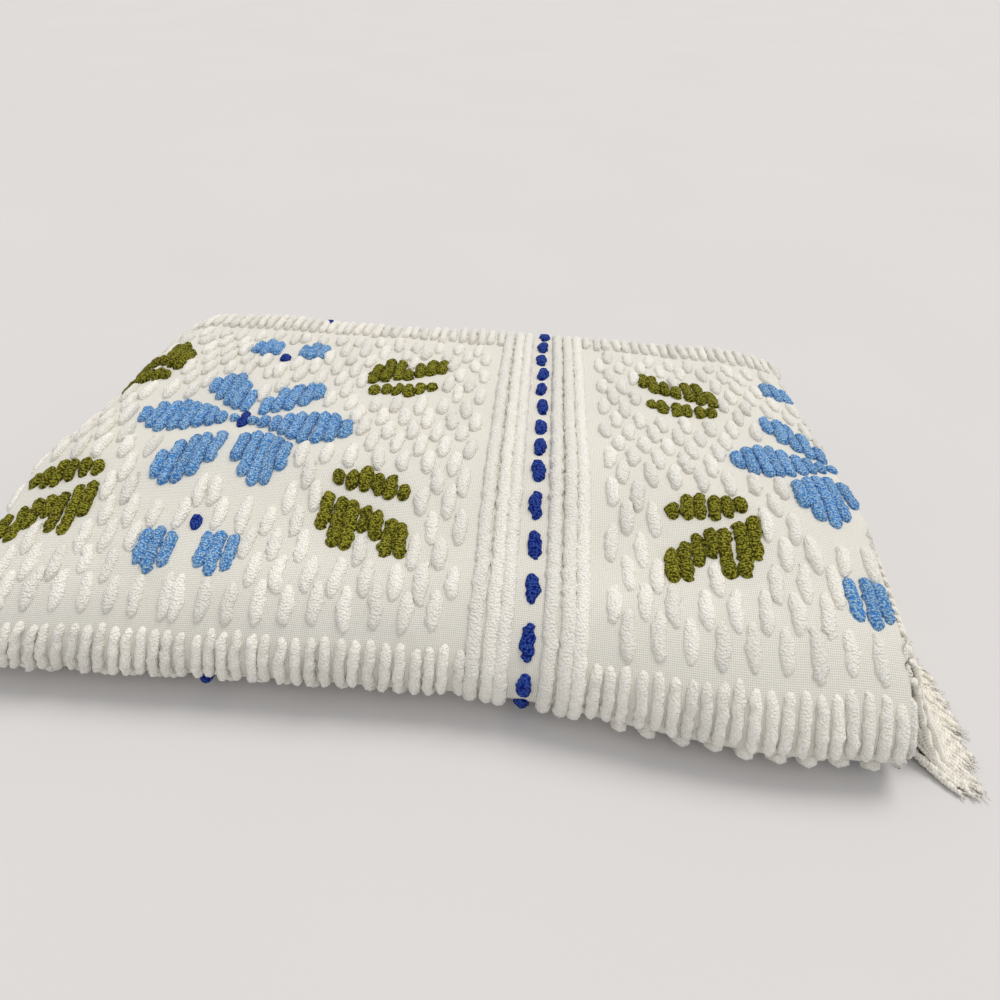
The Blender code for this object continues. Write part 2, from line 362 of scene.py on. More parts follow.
def crease_height(u, w):
    """Height of the outer ply's creases and slow waves.

    A crease is a bell curve of the distance from a short line, which is bowed by a tenth of its length
    and tapered over three tenths at each end. The waves are two sines, each shifted by another sine.
    """
    height = np.sin(41 * u + 3.1 * np.sin(17 * w)) * np.sin(37 * w + 2.3 * np.sin(13 * u + 1.0))
    height = UNEVENNESS * height
    for u0, w0, u1, w1, half_width, rise in CREASES:
        run_u, run_w = u1 - u0, w1 - w0
        length = math.hypot(run_u, run_w)
        share = ((u - u0) * run_u + (w - w0) * run_w) / length**2
        bow = 0.10 * length * np.sin(math.pi * np.clip(share, 0, 1))
        aside = ((u - u0) * run_w - (w - w0) * run_u) / length + bow
        taper = smooth_step(share / 0.3 + 0.5) * smooth_step((1 - share) / 0.3 + 0.5)
        height = height + CREASE_DEPTH * rise * np.exp(-((aside / half_width) ** 2)) * taper
    on_outer_ply = smooth_step((u + 0.004) / 0.02) * smooth_step((0.640 - u) / 0.02)
    return height * on_outer_ply


def drawn_back(u, w):
    """w with the draw added: a smooth step over u, times a step up and a step down over w."""
    over_u = smooth_step((DRAW_U[0] - u) / (DRAW_U[0] - DRAW_U[1]))
    rising = smooth_step((w - DRAW_W[0]) / (DRAW_W[1] - DRAW_W[0]))
    falling = smooth_step((DRAW_W[3] - w) / (DRAW_W[3] - DRAW_W[2]))
    return w + DRAW_BACK * over_u * rising * falling


def on_sheet(u, w, height):
    """The place at this height over the tufted face: the strip's section, carried along the path.

    The section gives a point across the strip and a level in it, and its heading gives the way out
    of the face. The path gives the strip's middle, from which the level is measured square to it.
    """
    u, w, height = np.broadcast_arrays(u, w, height)
    height = height + crease_height(u, w) - GROUND_DEPTH
    across, level, heading = line_at(SECTION, u + OUTER_PLY_START - PLY_PITCH)
    along = np.interp(drawn_back(u, w), DESIGN_KNOTS, PATH[:, 0])
    place, base, climb = line_at(PATH, along)
    slip = np.interp(along, PATH[:, 0], np.repeat([run[3] for run in PATH_RUNS], 2))
    x = across + slip + height * np.sin(heading)
    level = level - height * np.cos(heading)
    x, y, z = settle(x, place - level * np.sin(climb), base + level * np.cos(climb))
    return np.stack([x, y, np.maximum(z, LOWEST)], -1)


# ---------------------------------------------------------------- meshes and materials


def mesh_piece(name, points, faces, uv, material, shade=None):
    """Makes one mesh object from points, four-cornered faces and one UV pair for each corner.

    A face whose last corner is -1 has three corners. Faces of a closed piece are turned outwards.
    """
    points = points.reshape(-1, 3)
    three = faces[:, 3] < 0
    corners = points[faces[:, :3]]
    volume = np.einsum("ij,ij->i", corners[:, 0], np.cross(corners[:, 1], corners[:, 2])).sum()
    if volume < 0 and three.any():
        swapped = faces[:, [2, 1, 0, 3]]
        faces = np.where(three[:, None], swapped, faces[:, ::-1])
        uv = np.where(three[:, None, None], uv[:, [2, 1, 0, 3]], uv[:, ::-1])
    keep = np.ones(faces.shape, bool)
    keep[three, 3] = False
    sizes = keep.sum(1)
    mesh = bpy.data.meshes.new(name)
    mesh.vertices.add(len(points))
    mesh.vertices.foreach_set("co", points.astype(np.float32).ravel())
    mesh.loops.add(int(sizes.sum()))
    mesh.loops.foreach_set("vertex_index", faces[keep].astype(np.int32))
    mesh.polygons.add(len(faces))
    mesh.polygons.foreach_set("loop_start", (np.cumsum(sizes) - sizes).astype(np.int32))
    layer = mesh.uv_layers.new(name="UVMap")
    layer.data.foreach_set("uv", uv[keep].astype(np.float32).ravel())
    if shade is not None:
        attribute = mesh.attributes.new("shade", "FLOAT", "POINT")
        attribute.data.foreach_set("value", shade.astype(np.float32).ravel())
    mesh.update(calc_edges=True)
    mesh.validate()
    mesh.shade_smooth()
    mesh.materials.append(material)
    piece = bpy.data.objects.new(name, mesh)
    bpy.context.scene.collection.objects.link(piece)
    return piece


def grid_faces(rows, columns):
    """Faces of a grid of points: each row of points joined to the next one."""
    corner = np.arange((rows - 1) * columns).reshape(rows - 1, columns)[:, :-1].ravel()
    return np.stack([corner, corner + 1, corner + columns + 1, corner + columns], 1)


def closed_tubes(ring_v, points_round, step_width, offset=0.0):
    """Faces and UV of a row of equal tubes. The points of each are its rings and then its two ends.

    ring_v holds the V of each tube's near end, its rings and its far end. U grows by step_width from
    point to point round the tube. A cap's faces have three corners, and meet in the end point.
    """
    count, rings = ring_v.shape[0], ring_v.shape[1] - 2
    ring, step = np.meshgrid(np.arange(rings - 1), np.arange(points_round), indexing="ij")
    ring, step = ring.ravel(), step.ravel()
    low, after = ring * points_round, (step + 1) % points_round
    high = low + points_round
    first = np.arange(points_round)
    following, none = (first + 1) % points_round, np.full(points_round, -1)
    top, end = (rings - 1) * points_round, np.full(points_round, rings * points_round)
    shape = np.concatenate([
        np.stack([low + step, low + after, high + after, high + step], 1),
        np.stack([end, following, first, none], 1),
        np.stack([end + 1, top + first, top + following, none], 1),
    ])
    face_ring = np.concatenate([
        np.stack([ring + 1, ring + 1, ring + 2, ring + 2], 1),
        np.tile([0, 1, 1, 0], (points_round, 1)),
        np.tile([rings + 1, rings, rings, rings + 1], (points_round, 1)),
    ])
    face_step = np.concatenate([
        np.stack([step, step + 1, step + 1, step], 1),
        np.stack([first + 0.5, first + 1, first, first], 1),
        np.stack([first + 0.5, first, first + 1, first], 1),
    ])
    size = rings * points_round + 2
    faces = np.where(shape[None] < 0, -1, shape[None] + np.arange(count)[:, None, None] * size)
    face_u = np.broadcast_to(face_step * step_width, (count, *face_step.shape)) + offset
    return faces.reshape(-1, 4), np.stack([face_u, ring_v[:, face_ring]], -1).reshape(-1, 4, 2)


def add_node(tree, kind, properties=None, **inputs):
    """Adds a node, sets its properties, and sets or links its inputs. A socket as a value is a link.

    An input is given by its name, with _ for each space, or by i and its number.
    """
    node = tree.nodes.new("ShaderNode" + kind)
    for key, value in (properties or {}).items():
        setattr(node, key, value)
    for key, value in inputs.items():
        numbered = key[0] == "i" and key[1:].isdigit()
        socket = node.inputs[int(key[1:]) if numbered else key.replace("_", " ")]
        if isinstance(value, bpy.types.NodeSocket):
            tree.links.new(value, socket)
        else:
            socket.default_value = value
    return node


def weighted(tree, value, factor, added):
    """The value times the factor, plus another value."""
    return add_node(tree, "Math", {"operation": "MULTIPLY_ADD"}, i0=value, i1=factor, i2=added).outputs[0]


def mapped(tree, value, low, high, to_low=0.0, to_high=1.0):
    """Stretches low and high to to_low and to_high, and holds the value between them."""
    limits = {"From_Min": low, "From_Max": high, "To_Min": to_low, "To_Max": to_high}
    return add_node(tree, "MapRange", Value=value, **limits).outputs[0]


def blended(tree, share, first, second, blend="MIX"):
    """The first colour at share 0, and its blend with the second colour at share 1."""
    kinds = {"data_type": "RGBA", "blend_type": blend}
    return add_node(tree, "Mix", kinds, i0=share, i6=first, i7=second).outputs[2]


def noise(tree, place, scale, detail, **more):
    return add_node(tree, "TexNoise", Vector=place, Scale=scale, Detail=detail, **more).outputs["Fac"]


def bands(tree, place, direction, period, **more):
    """Soft bands, one in each period. Wave Texture turns once in 2 pi / 20 of its own unit."""
    scale = math.tau / 20 / period
    node = add_node(tree, "TexWave", {"bands_direction": direction}, Vector=place, Scale=scale, **more)
    return node.outputs["Fac"]


def new_material(name):
    """A material with nodes, its tree and its shader."""
    material = bpy.data.materials.new(name)
    material.use_nodes = True
    return material, material.node_tree, material.node_tree.nodes["Principled BSDF"]


def coordinates(tree):
    """The piece's own UV map, in metres of cloth or yarn, and Object coordinates."""
    uv = add_node(tree, "UVMap", {"uv_map": "UVMap"}).outputs["UV"]
    return uv, add_node(tree, "TexCoord").outputs["Object"]


def rgba(colour, factor=1.0):
    return (*(min(1.0, c * factor) for c in colour), 1.0)


def finish_cotton(tree, shader, colour, rough, height, strength, depth, sheen):
    """What all the cotton yarns share: cotton's index of refraction, bumps, and the sheen of its fuzz."""
    tree.links.new(colour, shader.inputs["Base Color"])
    tree.links.new(rough, shader.inputs["Roughness"])
    bump = add_node(tree, "Bump", Height=height, Strength=strength, Distance=depth)
    tree.links.new(bump.outputs["Normal"], shader.inputs["Normal"])
    values = {"Metallic": 0.0, "IOR": 1.53, "Specular IOR Level": 0.10, "Sheen Roughness": 0.55}
    for key, value in {**values, "Sheen Weight": sheen}.items():
        shader.inputs[key].default_value = value


def cotton_ground(colour):
    """Plain-woven cotton sheeting, bleached and washed: a matt square grid of round threads.

    Thread spacing 1.25 mm, a little coarser than the real cloth, so that the weave shows. The threads are
    thicker and thinner along their length, and large soft patches have yellowed. The gaps between the
    threads and the thinner stretches of thread are painted darker, down to 0.70 of the colour, as painted
    shade.
    """
    material, tree, shader = new_material("plain_woven_bleached_cotton")
    uv, place = coordinates(tree)
    unevenness = noise(tree, uv, 420.0, 2.0)
    threads = [
        bands(tree, uv, direction, 1.25 * MM, Distortion=1.1, Detail=1.0, Detail_Scale=1.5)
        for direction in ("X", "Y")
    ]
    weave = add_node(tree, "Math", {"operation": "MAXIMUM"}, i0=threads[0], i1=threads[1]).outputs[0]
    height = weighted(tree, unevenness, 0.5, weave)
    # Painted shade: the colour falls to 0.70 of itself in the gaps between the threads.
    thread = blended(tree, mapped(tree, height, 0.35, 1.10), rgba(colour, 0.70), rgba(colour))
    yellowed = rgba((colour[0] * 0.98, colour[1] * 0.97, colour[2] * 0.93))
    patches = mapped(tree, noise(tree, place, 9.0, 3.0), 0.35, 0.75, 0.0, 0.45)
    # The yellowed patches are the cloth's own; the colour under them keeps the painted shade of the gaps.
    yellowing_and_painted_gap_shade = blended(tree, patches, thread, yellowed)
    rough = mapped(tree, unevenness, 0.0, 1.0, 0.86, 0.98)
    finish_cotton(tree, shader, yellowing_and_painted_gap_shade, rough, height, strength=0.8, depth=0.4 * MM, sheen=0.20)
    return material


def cut_pile(name, colour, depth, shadow, ridge, bump_depth, sheen):
    """Cut cotton pile, tufted in rows and fluffed in the wash: ridges across each tuft, one for each stitch.

    Ridge spacing 1.8 mm, broken by the washing, and yarn ends in clusters of 1.6 mm, which is about twice
    the real size, so that their bright tips and dark gaps show. The tips carry a painted highlight: the
    colour raised to a power under one. The gaps carry painted shade: the colour raised to a power over one,
    as dye looks deeper where light bounces in it, and darkened further by the shadow share.
    """
    material, tree, shader = new_material(name)
    uv, place = coordinates(tree)
    broken = {"Distortion": 6.0, "Detail": 3.0, "Detail_Scale": 1.6, "Detail_Roughness": 0.6}
    stitches = bands(tree, uv, "Y", 1.8 * MM, **broken)
    grains = noise(tree, place, 1300.0, 2.0, Roughness=0.7)
    cells = add_node(tree, "TexVoronoi", Vector=place, Scale=620.0, Randomness=1.0)
    ends = mapped(tree, cells.outputs["Distance"], 0.05, 0.8, 1.0, 0.0)
    height = weighted(tree, grains, 0.5, weighted(tree, stitches, ridge, ends))
    lit = mapped(tree, height, 0.55, 1.02 + 0.55 * ridge)
    # Painted highlight on the tuft's tips (pale) and painted shade in its gaps (the colour to a higher
    # power, darkened by the shadow share). lit mixes the two by how high the surface stands.
    pale = [value ** (1 - 0.75 * depth) for value in colour]
    painted_gap_shade = [value ** (1 + depth) for value in colour]
    yarn = blended(tree, lit, rgba(painted_gap_shade, 1.0 - shadow), rgba(pale))
    tint = add_node(tree, "Attribute", {"attribute_name": "shade"}).outputs["Fac"]
    # Each tuft's own random tone multiplies the painted shading of tips and gaps.
    dye_tone_and_painted_shading = blended(tree, 1.0, yarn, mapped(tree, tint, 0.0, 1.0, 0.90, 1.06), "MULTIPLY")
    rough = mapped(tree, grains, 0.0, 1.0, 0.84, 1.0)
    finish_cotton(tree, shader, dye_tone_and_painted_shading, rough, height, strength=1.0, depth=bump_depth, sheen=sheen)
    return material


def twisted_yarn(colour):
    """Two-ply cotton yarn, twisted hard and left raw: slanting fibres, with painted shade in the grooves
    between them and a slight painted highlight on the fibres.

    The geometry carries the twist of the two plies. The material adds fibres 1.6 mm apart, about three
    times the real spacing, so that they show.
    """
    material, tree, shader = new_material("two_ply_twisted_cotton")
    uv, place = coordinates(tree)
    slanted = add_node(tree, "Mapping", Vector=uv, Rotation=(0.0, 0.0, math.radians(38))).outputs[0]
    fibres = bands(tree, slanted, "Y", 1.6 * MM, Distortion=2.2, Detail=2.0)
    fuzz = noise(tree, place, 900.0, 3.0)
    height = weighted(tree, fibres, 0.8, fuzz)
    # Painted shade in the grooves between the fibres, at 0.86 of the colour, and a painted highlight on the
    # fibres, at 1.05 of it.
    yarn = blended(tree, mapped(tree, height, 0.3, 1.4), rgba(colour, 0.86), rgba(colour, 1.05))
    rough = mapped(tree, fuzz, 0.0, 1.0, 0.80, 0.96)
    finish_cotton(tree, shader, yarn, rough, height, strength=0.8, depth=0.5 * MM, sheen=0.25)
    return material


def seamless_paper(colour):
    """Matt studio paper: one even pale tone, with a very faint mottle."""
    material, tree, shader = new_material("matt_studio_paper")
    mottle = noise(tree, add_node(tree, "TexCoord").outputs["Object"], 2.5, 3.0)
    tone = blended(tree, mottle, rgba(colour, 0.97), rgba(colour, 1.02))
    tree.links.new(tone, shader.inputs["Base Color"])
    shader.inputs["Roughness"].default_value = 0.9
    shader.inputs["Specular IOR Level"].default_value = 0.2
    return material


# ---------------------------------------------------------------- the design on the flat sheet


def design_rows():
    """The rows of flowers that the sheet has: the middle of each, and which way the chart runs along w."""
    first = math.floor((W_FIRST - MOTIF_ROW) / REPEAT)
    last = math.ceil((W_LAST - MOTIF_ROW) / REPEAT)
    return [(MOTIF_ROW + n * REPEAT, 1 if n % 2 == 0 else -1) for n in range(first, last + 1)]


def motif_stitches(chart, both_sides):
    """Stitches of a chart at each flower line and row: u, w and length in metres.

    With both_sides the chart is laid down four times, as a mirror image to the left and right of the
    line and to the front and back of the row.
    """
    chart = np.array(chart, float)
    sides = [(a, b) for a in (1, -1) for b in (1, -1)] if both_sides else [(1, 1)]
    found = []
    for column, hand in FLOWER_LINES:
        for middle, turn in design_rows():
            for side, end in sides:
                u = (column + hand * side * chart[:, 0]) * GAUGE
                w = middle + turn * end * chart[:, 1] * MM
                found.append(np.stack([u, w, chart[:, 2] * MM], 1))
    return np.concatenate(found)


def between(value, low, high):
    return (value > low) & (value < high)


def shown(stitches):
    """Keeps the stitches on the faces that can be seen.

    These are the outer ply over the underside, the front fold, the top and the back fold, and the
    strip's own folds at the left and the right along the whole sheet.
    """
    u, w = stitches[:, 0], stitches[:, 1]
    outer = between(w, W_FIRST + END_MARGIN, OUTER_END) & between(u, *OUTER_FACE)
    folds = between(u, *LEFT_FOLD) | between(u, *RIGHT_FOLD)
    return stitches[outer | (folds & between(w, W_FIRST + END_MARGIN, W_LAST - END_MARGIN))]


def clear_of(stitches, motifs, margin_u, margin_w):
    """Drops the stitches that come nearer to a coloured stitch than the margins."""
    near_u = np.abs(stitches[:, None, 0] - motifs[None, :, 0]) < margin_u
    reach = 0.5 * (stitches[:, None, 2] + motifs[None, :, 2]) + margin_w
    near_w = np.abs(stitches[:, None, 1] - motifs[None, :, 1]) < reach
    return stitches[~(near_u & near_w).any(1)]


def column_lines():
    """u of every white column, and how many columns it stands from its flower line."""
    numbers = np.arange(POPCORN_COLUMNS)
    sides = [(line + side * (numbers + 0.5), numbers) for line, _ in FLOWER_LINES for side in (-1, 1)]
    u, number = (np.concatenate(values) for values in zip(*sides))
    return u * GAUGE, number


def in_columns(u, w, length):
    """One stitch of this length in each column, all with their middles at w."""
    return np.stack([u, np.full(len(u), w), np.full(len(u), length)], 1)


def popcorn_stitches(length):
    """Rows of popcorn between the bands of bars, every second column offset by half the pitch."""
    u, number = column_lines()
    found = []
    for middle, _ in design_rows():
        for step in np.arange(-4.0, 4.5, 0.5):
            columns = number % 2 == (0 if step == int(step) else 1)
            found.append(in_columns(u[columns], middle + step * POPCORN_PITCH, length))
    return np.concatenate(found)


def bar_stitches(length):
    """The bars that stand side by side in each band, one to a column and one more beside the cords."""
    u, _ = column_lines()
    u = np.append(u, (DASH_LINE + np.array([-4.45, 4.45])) * GAUGE)
    return np.concatenate([in_columns(u, middle - 0.5 * REPEAT, length) for middle, _ in design_rows()])


def back_fold_stitches():
    """Bars round the lower fold at the back, on the ply that lies outside there.

    They start 10 mm past that ply's own turn and stop 6 mm from the sheet's edge. The ply runs round the
    fold at a larger radius than the one on which w is measured, so a short run of w spans a whole bar.
    """
    first, last = DESIGN_KNOTS[7], DESIGN_KNOTS[8]
    u = np.arange(U_FIRST + SECTION[6, 0] + 0.010, U_LAST - 0.006, GAUGE)
    return in_columns(u, 0.5 * (first + last), last - first + 2 * MM)


def dash_stitches():
    """The broken line of royal-blue dashes."""
    count = int((OUTER_END - W_FIRST) / DASH_PITCH)
    w = FIRST_DASH + np.arange(-count, count) * DASH_PITCH
    return np.stack([np.full(len(w), DASH_LINE * GAUGE), w, np.full(len(w), DASH_LENGTH)], 1)


# ---------------------------------------------------------------- tufts


def dome(points_round):
    """The section of a tuft: a half round that swells over its foot, closed by a point under the ground."""
    angle = np.linspace(-0.12, math.pi + 0.12, points_round - 1)
    rise = np.clip(np.sin(angle), -0.2, 1)
    swollen = rise * 0.5 + 0.5 * np.sign(rise) * np.abs(rise) ** 0.7
    return np.append(np.cos(angle), 0.0), np.append(swollen, -0.25)


def tuft_group(stitches, width, height, rings, points_round, seed, lump, cap_share):
    """Points, faces, UV and shade of tufts with this number of rings, one for each stitch.

    Rings lie closer together towards the ends, as the sine of their place in a tuft of up to nine rings,
    and less so in a longer one. Both ends are round: the width is the root of one less about the square of
    the share of the end cap. Width and height are uneven, and the tuft bows and leans a little.
    """
    random = np.random.default_rng(seed)
    count = len(stitches)
    u0, w0, length = (stitches[:, i][:, None, None] for i in range(3))
    share = np.linspace(-1, 1, rings + 2)[1:-1]
    blend = min(1.0, 9.0 / rings)
    share = ((1 - blend) * share + blend * np.sin(0.5 * math.pi * share))[None, :, None]
    along = 0.5 * length * share
    cap = np.minimum(0.5 * length, cap_share * width)
    into_cap = np.clip((np.abs(along) - (0.5 * length - cap)) / cap, 0, 0.985)
    full = np.sqrt(1 - into_cap**2.2)
    uneven = 1 + lump * random.standard_normal((count, rings, 1))
    uneven = uneven + 0.8 * lump * random.standard_normal((count, rings, points_round))
    side, rise = dome(points_round)
    sway = SWAY * width * random.standard_normal((count, rings, 1))
    bow = BOW * width * random.standard_normal((count, 1, 1)) * (1 - share**2)
    lean = LEAN * width * random.standard_normal((count, 1, 1)) * share
    u = u0 + 0.5 * width * full * uneven * side + sway + bow + lean
    tall = height * (1 + TALLNESS * random.standard_normal((count, 1, 1)))
    over = tall * full**0.75 * uneven * rise
    w = w0 + along + np.zeros_like(u)
    ends_w = stitches[:, 1:2] + 0.5 * stitches[:, 2:] * np.array([-1.0, 1.0])
    points = on_sheet(
        np.concatenate([u.reshape(count, -1), np.tile(stitches[:, :1], (1, 2))], 1),
        np.concatenate([w.reshape(count, -1), ends_w], 1),
        np.concatenate([over.reshape(count, -1), np.full((count, 2), 0.12 * height)], 1),
    )
    offset = random.random((count, 1, 1)) * 0.4
    ring_v = along[:, :, 0] + offset[:, :, 0] + 0.05 * random.random((count, 1))
    ring_v = np.concatenate([ring_v[:, :1] - 0.6 * MM, ring_v, ring_v[:, -1:] + 0.6 * MM], 1)
    faces, uv = closed_tubes(ring_v, points_round, 2.4 * width / points_round, offset)
    shade = np.broadcast_to(random.random((count, 1)), points.shape[:2])
    return points.reshape(-1, 3), faces, uv, shade.ravel()


def sew(name, stitches, material, seed, width, height, ring_pitch, points_round, lump=0.05, cap_share=0.7):
    """One piece of all these tufts. Those with the same number of rings are worked out together."""
    rings = np.maximum(5, np.rint(stitches[:, 2] / ring_pitch).astype(int))
    groups, total = [], 0
    for number in np.unique(rings).tolist():
        points, faces, uv, shade = tuft_group(
            stitches[rings == number], width, height, number, points_round, seed + number, lump, cap_share
        )
        groups.append((points, np.where(faces < 0, -1, faces + total), uv, shade))
        total += len(points)
    points, faces, uv, shade = (np.concatenate(parts) for parts in zip(*groups))
    return dress(mesh_piece(name, points, faces, uv, material, shade))


def jittered(stitches, seed, sideways, along, stretch):
    """Hand-guided stitches: each starts and stops a little off its chart."""
    random = np.random.default_rng(seed)
    moved = stitches.copy()
    moved[:, 0] += sideways * random.standard_normal(len(moved))
    moved[:, 1] += along * random.standard_normal(len(moved))
    moved[:, 2] *= 1 + stretch * random.standard_normal(len(moved))
    return moved


def both_ways(chart, also=slice(None)):
    """The chart, and these of its stitches again as a mirror image to the front and back of the flower."""
    chart = np.array(chart, float)
    return motif_stitches(np.concatenate([chart, chart[also] * (1, -1, 1)]), False)


def petal_stitches():
    """The petals, and the pairs of buds at the front and the back of each flower."""
    return np.concatenate([motif_stitches(PETALS, False), both_ways(BUDS)])


def heart_stitches():
    """The heart of each flower, and the dot between each pair of buds."""
    return both_ways(FLOWER_DOTS, slice(1, None))


# ---------------------------------------------------------------- operators


def settings():
    return bpy.context.scene.spread_sizes, bpy.context.scene.spread_colours


def dress(piece):
    """The piece moves with the bundle: it hangs from the root body."""
    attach(piece, "root")
    return piece


def spaced(knots, counts):
    """Places that split the run from each knot to the next into so many equal parts."""
    runs = [np.linspace(a, b, n + 1)[:-1] for a, b, n in zip(knots[:-1], knots[1:], counts)]
    return np.append(np.concatenate(runs), knots[-1])


class SPREAD_OT_ground(bpy.types.Operator):
    """Woven ground: the whole sheet, through all its folds."""

    bl_idname = "spread.ground"
    bl_label = "Woven ground"

    def execute(self, context):
        sizes, colours = settings()
        u = spaced(U_FIRST + SECTION[:, 0], (14, 6, 14, 6, 88, 9, 14))
        w = spaced(DESIGN_KNOTS, (40, 24, 60, 12, 14, 12, 14, 12, 14, 8, 16))
        across, along = np.meshgrid(u, w)
        points = on_sheet(across, along, 0.0)
        faces = grid_faces(len(w), len(u))
        flat = np.stack([across.ravel(), along.ravel()], 1)
        piece = mesh_piece("woven_ground", points, faces, flat[faces], cotton_ground(colours.ground))
        solidify = piece.modifiers.new("thickness", "SOLIDIFY")
        solidify.thickness = sizes.ground_thickness
        solidify.offset = 0.0
        dress(piece)
        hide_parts("spread")
        return {"FINISHED"}


def white_pile(colours):
    """The material of all the white tufts, made once."""
    name = "white_cut_cotton_pile"
    # depth and shadow set the painted shade in the gaps and the painted highlight on the tips.
    values = {"depth": 0.50, "shadow": 0.08, "ridge": 0.20, "bump_depth": 0.8 * MM, "sheen": 0.35}
    return bpy.data.materials.get(name) or cut_pile(name, colours.white_pile, **values)


class SPREAD_OT_popcorn(bpy.types.Operator):
    """White popcorn tufts between the motifs."""

    bl_idname = "spread.popcorn"
    bl_label = "Popcorn tufts"

    def execute(self, context):
        sizes, colours = settings()
        motifs = np.concatenate([petal_stitches(), heart_stitches(), motif_stitches(LEAF, True)])
        stitches = clear_of(shown(popcorn_stitches(sizes.popcorn_length)), motifs, 0.75 * GAUGE, -4.0 * MM)
        stitches = jittered(stitches, 11, sideways=0.45 * MM, along=1.1 * MM, stretch=0.07)
        sew(
            "white_popcorn", stitches, white_pile(colours), seed=100, width=sizes.popcorn_width,
            height=sizes.pile_height, ring_pitch=0.0029, points_round=6, cap_share=1.5,
        )
        return {"FINISHED"}


class SPREAD_OT_bars(bpy.types.Operator):
    """White bars of the bands, and the white cords beside the dashes."""

    bl_idname = "spread.bars"
    bl_label = "Bars and cords"

    def execute(self, context):
        sizes, colours = settings()
        material = white_pile(colours)
        bar = {"width": sizes.bar_width, "height": sizes.bar_height, "points_round": 7}
        stitches = shown(bar_stitches(sizes.bar_length))
        stitches = jittered(stitches, 12, sideways=0.5 * MM, along=1.2 * MM, stretch=0.03)
        sew("white_bars", stitches, material, seed=200, ring_pitch=0.0030, lump=0.055, cap_share=1.0, **bar)
        back = jittered(back_fold_stitches(), 16, sideways=0.5 * MM, along=0.1 * MM, stretch=0.03)
        sew("white_back_bars", back, material, seed=700, ring_pitch=0.0006, **bar)
        first, last = W_FIRST + 0.004, OUTER_END
        u = (DASH_LINE + np.array(CORD_COLUMNS)) * GAUGE
        sew(
            "white_cords", in_columns(u, 0.5 * (first + last), last - first), material, seed=300,
            width=0.0098, height=sizes.bar_height, ring_pitch=0.0028, points_round=8, lump=0.025,
        )
        return {"FINISHED"}


class SPREAD_OT_flowers(bpy.types.Operator):
    """Light-blue petals and buds."""

    bl_idname = "spread.flowers"
    bl_label = "Flowers"

    def execute(self, context):
        sizes, colours = settings()
        stitches = jittered(shown(petal_stitches()), 13, sideways=0.25 * MM, along=0.6 * MM, stretch=0.025)
        # The pile's depth and shadow set its painted shade in the gaps and painted highlight on the tips.
        material = cut_pile(
            "light_blue_cut_cotton_pile", colours.light_blue,
            depth=0.75, shadow=0.14, ridge=0.35, bump_depth=1.4 * MM, sheen=0.08,
        )
        sew(
            "light_blue_petals", stitches, material, seed=400, width=0.0099,
            height=sizes.motif_height, ring_pitch=0.0021, points_round=8, lump=0.055,
        )
        return {"FINISHED"}


class SPREAD_OT_leaves(bpy.types.Operator):
    """Olive leaves."""

    bl_idname = "spread.leaves"
    bl_label = "Leaves"

    def execute(self, context):
        sizes, colours = settings()
        stitches = shown(motif_stitches(LEAF, True))
        stitches = jittered(stitches, 14, sideways=0.3 * MM, along=0.9 * MM, stretch=0.06)
        # The pile's depth and shadow set its painted shade in the gaps and painted highlight on the tips.
        material = cut_pile(
            "olive_cut_cotton_pile", colours.olive,
            depth=0.65, shadow=0.15, ridge=0.35, bump_depth=1.3 * MM, sheen=0.02,
        )
        sew(
            "olive_leaves", stitches, material, seed=500, width=0.0100,
            height=sizes.motif_height, ring_pitch=0.0021, points_round=8, lump=0.065,
        )
        return {"FINISHED"}


class SPREAD_OT_dashes(bpy.types.Operator):
    """Royal-blue dashes, flower hearts and dots."""

    bl_idname = "spread.dashes"
    bl_label = "Dashes and dots"

    def execute(self, context):
        sizes, colours = settings()
        stitches = np.concatenate([shown(dash_stitches()), shown(heart_stitches()), np.array(STRAY_DOTS)])
        stitches = jittered(stitches, 15, sideways=0.3 * MM, along=0.7 * MM, stretch=0.06)
        # The pile's depth and shadow set its painted shade in the gaps and painted highlight on the tips.
        material = cut_pile(
            "royal_blue_cut_cotton_pile", colours.royal_blue,
            depth=0.50, shadow=0.10, ridge=0.35, bump_depth=1.3 * MM, sheen=0.02,
        )
        sew(
            "royal_blue_dashes", stitches, material, seed=600, width=0.0096,
            height=sizes.motif_height, ring_pitch=0.0020, points_round=8, lump=0.08, cap_share=1.0,
        )
        return {"FINISHED"}


def tube_piece(name, paths, radii, points_round, material, twist=0.0, flatness=0.0):
    """Twisted strands: each is a section of two lobes that turns as it goes along its path.

    The section's radius is one plus flatness times the cosine of twice the angle, and the angle
    grows along the path. Both ends close in a point.
    """
    count, rings, _ = paths.shape
    ahead = np.gradient(paths, axis=1)
    ahead /= np.linalg.norm(ahead, axis=2, keepdims=True)
    side = np.cross(ahead, np.array([0.0, 0.0, 1.0]) + 1e-3)
    side /= np.linalg.norm(side, axis=2, keepdims=True)
    over = np.cross(side, ahead)
    steps = np.linalg.norm(np.diff(paths, axis=1), axis=2)
    along = np.concatenate([np.zeros((count, 1)), np.cumsum(steps, 1)], 1)
    angle = np.linspace(0, math.tau, points_round, endpoint=False)[None, None, :]
    reach = radii[:, :, None] * (1 + flatness * np.cos(2 * (angle + twist * along[:, :, None])))
    skin = (
        paths[:, :, None]
        + side[:, :, None] * (reach * np.cos(angle))[..., None]
        + over[:, :, None] * (reach * np.sin(angle))[..., None]
    )
    past = radii[:, [0, -1]][..., None] * np.array([-1, 1])[None, :, None]
    tips = paths[:, [0, -1]] + ahead[:, [0, -1]] * past
    points = np.concatenate([skin.reshape(count, -1, 3), tips], 1)
    points[..., 2] = np.maximum(points[..., 2], LOWEST)
    ring_v = np.concatenate([along[:, :1], along, along[:, -1:]], 1)
    faces, uv = closed_tubes(ring_v, points_round, 1.6 * MM)
    return dress(mesh_piece(name, points, faces, uv, material))


